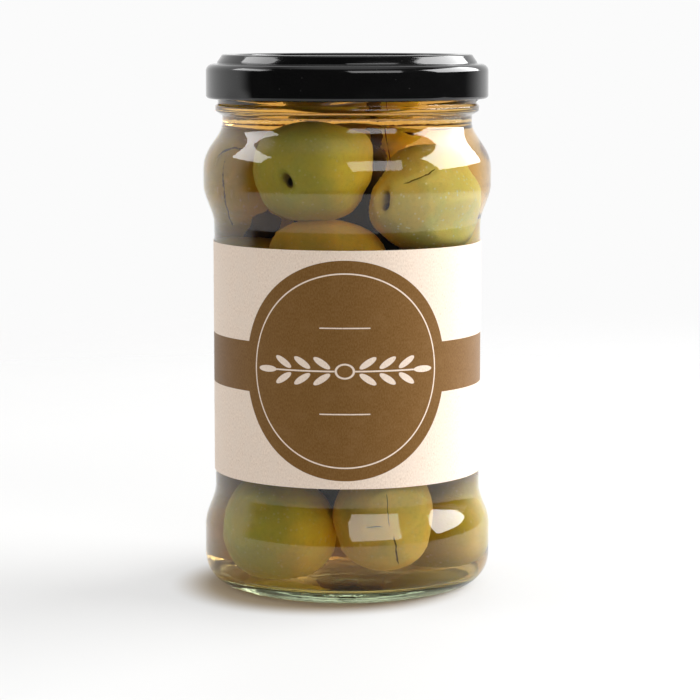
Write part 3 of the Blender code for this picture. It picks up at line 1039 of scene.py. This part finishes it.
def make_lid():
    outline, lining = lid_outline()
    lid = lathe("lid_pressed", outline + lining, even_angles(LID_COLUMNS), press_lugs, 50.0)
    lid.data.materials.append(lacquer_material())
    lid.data.materials.append(lining_material())
    # The faces lie row by row in the order of the outline, and the two fans at the axis come last
    lacquered_rows = len(without_twins(outline)) - 2
    last_row = len(without_twins(outline + lining)) - 4
    for face in lid.data.polygons:
        row = face.index // LID_COLUMNS
        lined = lacquered_rows <= row <= last_row
        top_fan = row > last_row and face.center.z > LID_PANEL_Z - LID_TIN / 2.0
        face.material_index = 1 if lined or (row > last_row and not top_fan) else 0
    return finish_piece(lid, "lid")


# Label


def make_label():
    inner = LABEL_R - LABEL_THICK
    first = math.radians(90.0 + LABEL_GAP_DEG / 2.0)
    step = math.radians(360.0 - LABEL_GAP_DEG) / LABEL_COLUMNS
    points = []
    for column in range(LABEL_COLUMNS + 1):
        angle = first + step * column
        points += [
            on_circle(inner, angle, LABEL_LOW_Z),
            on_circle(LABEL_R, angle, LABEL_LOW_Z),
            on_circle(LABEL_R, angle, LABEL_HIGH_Z),
            on_circle(inner, angle, LABEL_HIGH_Z),
        ]
    corners = 4
    faces = []
    for column in range(LABEL_COLUMNS):
        here = column * corners
        for corner in range(corners):
            beside = (corner + 1) % corners
            faces.append((here + corner, here + corners + corner, here + corners + beside, here + beside))
    faces.append((0, 1, 2, 3))
    end = LABEL_COLUMNS * corners
    faces.append((end + 3, end + 2, end + 1, end))
    label = add_mesh("label_wrap", points, faces, 40.0)
    label.data.materials.append(label_material())
    return finish_piece(label, "label")


# Olives


def hidden_olives():
    """Rings of olives behind the label, left out where a shown one already sits."""
    draw = random.Random(SEED)
    found = []
    for layer in range(HIDDEN_LAYERS):
        height = HIDDEN_LOW_Z + HIDDEN_STEP_Z * layer
        for spot in range(HIDDEN_PER_LAYER):
            turned = HIDDEN_START_DEG + HIDDEN_TWIST_DEG * layer + 360.0 * spot / HIDDEN_PER_LAYER
            place = on_circle(HIDDEN_RING_R, math.radians(turned), height)
            grown = 1.0 + draw.uniform(-OLIVE_UNEVEN, OLIVE_UNEVEN)
            half = Vector((OLIVE_HALF_LENGTH, OLIVE_HALF_WIDTH, OLIVE_HALF_WIDTH)) * grown
            yaw = draw.uniform(0.0, 360.0)
            olive = Olive(place, half, yaw, draw.uniform(-HIDDEN_TILT_DEG, HIDDEN_TILT_DEG))
            nearest = min((olive.place - shown.place).length for shown in SHOWN_OLIVES)
            if nearest > OLIVE_HALF_WIDTH:
                found.append(olive)
    return found


def settle(fixed, free):
    """Push the free olives apart and back from the glass until they lie side by side."""
    for _ in range(SETTLE_STEPS):
        for olive in free:
            push = Vector()
            for other in (*fixed, *free):
                if other is olive:
                    continue
                apart = olive.place - other.place
                overlap = olive.reach() + other.reach() - apart.length
                if overlap > 0.0:
                    push += apart.normalized() * overlap
            olive.place += push * SETTLE_RATE
            draw_in(olive.place, inner_radius(olive.place.z) - HEAP_CLEAR - olive.reach())


def draw_in(place, room):
    """Move a place straight towards the axis until it is within the room."""
    out = place.xy.length
    if out > room:
        place.xy *= room / out


def floor_height(radius):
    share = min(1.0, radius / FLOOR_R)
    return FLOOR_MID_Z + (FLOOR_Z - FLOOR_MID_Z) * half_wave(share)


def toward(azimuth_deg, elevation_deg):
    """Direction from its azimuth, from the camera's side towards +X, and its elevation."""
    azimuth = math.radians(azimuth_deg)
    elevation = math.radians(elevation_deg)
    flat = math.cos(elevation)
    return Vector((math.sin(azimuth) * flat, -math.cos(azimuth) * flat, math.sin(elevation)))


def crack_at(crack, seen, key):
    """How far a direction lies from a crack's middle line, and half the crack's width there, in mm."""
    start = toward(*crack.start)
    end = toward(*crack.end)
    across = start.cross(end).normalized()
    whole = start.angle(end)
    share = math.atan2(seen.dot(across.cross(start)), seen.dot(start)) / whole
    away = OLIVE_MM * math.asin(seen.dot(across))
    spot = Vector((share * whole * CRACK_WAVES, key * CRACK_NOISE[0], crack.half * CRACK_NOISE[1]))
    away += CRACK_WANDER * noise.noise(spot)
    taper = 0.0
    if 0.0 < share < 1.0:
        away -= crack.bow * 4.0 * share * (1.0 - share)
        taper = fade(CRACK_TAPER * min(share, 1.0 - share))
    half = (crack.half + CRACK_EDGE) * taper - CRACK_EDGE
    return max(-CRACK_REACH, min(CRACK_REACH, away)), half


def pit_shape(side, up, turn_deg):
    """How deep the stem pit is at a place beside the stem axis, and how dark it is there, from 0 to 1: a
    brown scar stain, and painted shade deep in the hole.
    """
    turn = math.radians(turn_deg)
    long_way = (side * math.cos(turn) + up * math.sin(turn)) / PIT_LONG
    wide_way = (up * math.cos(turn) - side * math.sin(turn)) / PIT_WIDE
    far = math.hypot(long_way, wide_way)
    deep_far = math.hypot((long_way - PIT_LEAN) / PIT_SHADE_PART[0], wide_way / PIT_SHADE_PART[1])
    scar_and_pit_shade = max(math.exp(-(deep_far**4)), PIT_STAIN * math.exp(-(far**4)))
    depth = PIT_DEEP * math.exp(-(far**2)) - RIM_SWELL * math.exp(-((far - PIT_RIM) ** 2))
    return depth, scar_and_pit_shade


class Skin:
    """Points and faces of olives, and for each point its tint, paler as painted light on the side towards
    the key light, its marks (stem scar with painted shade deep in its pit, specks), its distances from
    the cracks and half the cracks' widths."""

    def __init__(self):
        self.points = []
        self.faces = []
        self.tints = []
        self.marks = []
        self.away = []
        self.open = []

    def add(self, other):
        first = len(self.points)
        self.faces += [tuple(first + index for index in face) for face in other.faces]
        self.points += other.points
        self.tints += other.tints
        self.marks += other.marks
        self.away += other.away
        self.open += other.open


def olive_skin(olive, grid, key):
    """Skin of one olive on a grid round and along its stem axis; the key varies its noise."""
    count, rows = grid
    turned = Euler((0.0, -math.radians(olive.pitch), math.radians(olive.yaw)), "XYZ").to_matrix()
    skin = Skin()
    for row in range(1, rows):
        slope = math.pi * (row / rows) ** POLE_CROWD
        along = math.cos(slope)
        for angle in even_angles(count):
            ball = Vector((along, math.sin(slope) * math.cos(angle), math.sin(slope) * math.sin(angle)))
            add_skin_point(skin, olive, turned, ball, key)
    skin.faces = [face[::-1] for face in ring_faces(rows - 1, count)]
    stem = len(skin.points)
    tail = stem + 1
    add_skin_point(skin, olive, turned, Vector((1.0, 0.0, 0.0)), key)
    add_skin_point(skin, olive, turned, Vector((-1.0, 0.0, 0.0)), key)
    last = (rows - 2) * count
    for column in range(count):
        following = (column + 1) % count
        skin.faces.append((stem, column, following))
        skin.faces.append((tail, last + following, last + column))
    return skin


def lit_side_tint(olive, seen):
    """Colour of the skin in a direction from the olive's middle, paler as painted light on the side
    towards the key light, no channel of it over 1.
    """
    light_facing = seen.dot(toward(LIT_SIDE_AZIMUTH_DEG, LIT_SIDE_ELEVATION_DEG))
    pale = fade((light_facing - LIT_SIDE_START) / (1.0 - LIT_SIDE_START))
    pale = min(pale, (1.0 / max(olive.tint) - 1.0) / max(LIT_SIDE_GAIN))
    return tuple(part * (1.0 + gain * pale) for part, gain in zip(olive.tint, LIT_SIDE_GAIN))


def add_skin_point(skin, olive, turned, ball, key):
    """Add the skin's point for a point of the unit ball: egg shape, lumps, stem pit and cracks."""
    point = olive_point(olive, ball)
    point *= 1.0 + LUMP * noise.noise(point / LUMP_SIZE + Vector((key * LUMP_SHIFT, 0.0, 0.0)))
    scar_and_pit_shade = 0.0
    if ball.x > 0.0:
        depth, scar_and_pit_shade = pit_shape(point.y, point.z, olive.pit_turn)
        point.x -= depth
    seen = (turned @ point).normalized()
    lines = [crack_at(crack, seen, key) for crack in olive.cracks]
    lines += [(CRACK_REACH, -CRACK_EDGE)] * (CRACK_COUNT - len(lines))
    for away, half in lines:
        if half > 0.0:
            point -= point.normalized() * CRACK_DEEP * math.exp(-((away / (CRACK_SLOPE * half)) ** 2))
    skin.points.append(settle_point(turned @ point + olive.place))
    # The tint carries the painted light on the side towards the key light
    skin.tints.append(lit_side_tint(olive, seen))
    skin.marks.append((scar_and_pit_shade, olive.specks, 0.0))
    skin.away.append(tuple(line[0] for line in lines))
    skin.open.append(tuple(line[1] for line in lines))


def olive_point(olive, ball):
    """Point of the plain egg shape for a point of the unit ball, stem end along +X."""
    girth = 1.0 - OLIVE_POINT * ball.x
    return Vector((ball.x * olive.half.x, ball.y * girth * olive.half.y, ball.z * girth * olive.half.z))


def settle_point(point):
    """Draw back a point that would touch the floor or the wall of the glass."""
    point.z = max(point.z, floor_height(point.xy.length) + HEAP_CLEAR)
    draw_in(point, inner_radius(point.z) - HEAP_CLEAR)
    return point


def make_olives():
    hidden = hidden_olives()
    settle(SHOWN_OLIVES, hidden)
    draw = random.Random(SEED + 1)
    for olive in hidden:
        shade = draw.uniform(*HIDDEN_SHADE)
        olive.tint = tuple(part * shade for part in olive.tint)
    skin = Skin()
    for key, olive in enumerate((*SHOWN_OLIVES, *hidden)):
        skin.add(olive_skin(olive, SHOWN_GRID if key < len(SHOWN_OLIVES) else HIDDEN_GRID, key))
    heap = add_mesh("olives_cracked", skin.points, skin.faces)
    paint_skin(heap, skin.tints, skin.marks, skin.away, skin.open)
    material = olive_material()
    heap.data.materials.append(material)
    finish_piece(heap, "olives")
    make_core(material)


def make_core(material):
    """Upright bar in the middle of the heap, near-black as painted shade behind the gaps between the
    olives.
    """
    radii = (CORE_R, CORE_R)
    outline = arc((0.0, CORE_LOW_Z + CORE_R), radii, -90.0, 0.0, CORE_STEPS)
    outline += arc((0.0, CORE_HIGH_Z - CORE_R), radii, 0.0, 90.0, CORE_STEPS)
    outline[0] = (0.0, CORE_LOW_Z)
    outline[-1] = (0.0, CORE_HIGH_Z)
    core = lathe("olives_core", outline, even_angles(CORE_COLUMNS))
    no_marks = (0.0, 0.0, 0.0)
    no_crack = (CRACK_REACH,) * CRACK_COUNT
    shut = (-CRACK_EDGE,) * CRACK_COUNT
    count = len(core.data.vertices)
    paint_skin(core, [CORE_SHADE_TINT] * count, [no_marks] * count, [no_crack] * count, [shut] * count)
    core.data.materials.append(material)
    finish_piece(core, "olives")


def paint_skin(item, tints, marks, away, opened):
    """Paint what the olive material reads."""
    paint(item, "tint", tints)
    paint(item, "marks", marks)
    paint(item, "away", away)
    paint(item, "open", opened)


def paint(item, name, colours):
    """Store a colour for each point of a mesh."""
    layer = item.data.attributes.new(name, "FLOAT_COLOR", "POINT")
    layer.data.foreach_set("color", [part for colour in colours for part in (*colour, 1.0)])


def finish_piece(item, node=None):
    """Fix a piece to the jar's body, and hide the part of the frame that it replaces."""
    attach(item, BODY)
    if node:
        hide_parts(node)
    return item


# Floor, light and camera


def make_floor():
    points = [on_circle(FLOOR_OUT_R, angle, FLOOR_LOW_Z) for angle in even_angles(FLOOR_COLUMNS)]
    floor = add_mesh("floor", points, [tuple(range(FLOOR_COLUMNS))])
    floor.data.materials.append(floor_material())


def make_softbox(box):
    light = bpy.data.lights.new(box.name, "AREA")
    light.shape = "RECTANGLE"
    light.size = 2.0 * LIGHT_DISTANCE * math.tan(math.radians(box.width / 2.0))
    light.size_y = 2.0 * LIGHT_DISTANCE * math.tan(math.radians(box.height / 2.0))
    light.energy = box.radiance * math.pi * light.size * light.size_y
    item = bpy.data.objects.new(box.name, light)
    bpy.context.scene.collection.objects.link(item)
    out = toward(box.azimuth, box.elevation)
    item.location = LIGHT_AIM + out * LIGHT_DISTANCE
    item.rotation_euler = (-out).to_track_quat("-Z", "Y").to_euler()
    item.visible_camera = False


def make_world():
    """White studio walls behind and at the left, a white ceiling, and a dark room behind the camera."""
    world = bpy.data.worlds.new("studio")
    bpy.context.scene.world = world
    world.use_nodes = True
    tree = world.node_tree
    _, x, y, z = place_fields(tree, "Generated")
    degree = math.pi / 180.0
    azimuth = x.math("ARCTAN2", y * -1.0) / degree
    elevation = z.math("ARCSINE") / degree
    left = azimuth.ramp(*WALL_LEFT_DEG)
    right = azimuth.ramp(*WALL_RIGHT_DEG)
    wall = left.top(right) * elevation.ramp(WALL_TOP_DEG + WALL_FADE_DEG, WALL_TOP_DEG)
    ceiling = elevation.ramp(WALL_TOP_DEG, CEILING_DEG) * CEILING_LIGHT
    light = (wall * WALL_LIGHT).top(ceiling).top(DARK_LIGHT)
    seen = Field(tree, tree.nodes.new("ShaderNodeLightPath").outputs["Is Camera Ray"])
    light = light * seen.flip() + seen * BACKGROUND
    shader = tree.nodes["Background"]
    tree.links.new(vector_of(tree, light, light, light), shader.inputs["Color"])


def make_camera():
    camera = bpy.data.cameras.new("camera")
    camera.lens = CAMERA_LENS_MM
    camera.sensor_width = SENSOR_MM
    item = bpy.data.objects.new("camera", camera)
    bpy.context.scene.collection.objects.link(item)
    item.location = CAMERA_PLACE
    item.rotation_euler = (math.radians(90.0 - CAMERA_DOWN_DEG), 0.0, 0.0)
    bpy.context.scene.camera = item


def set_look():
    scene = bpy.context.scene
    scene.view_settings.view_transform = "Standard"
    scene.cycles.max_bounces = 24
    scene.cycles.transmission_bounces = 20
    scene.cycles.glossy_bounces = 10
    scene.cycles.transparent_max_bounces = 12


make_camera()
make_world()
for softbox in SOFTBOXES:
    make_softbox(softbox)
make_floor()
make_glass()
make_brine()
make_lid()
make_label()
make_olives()
set_look()
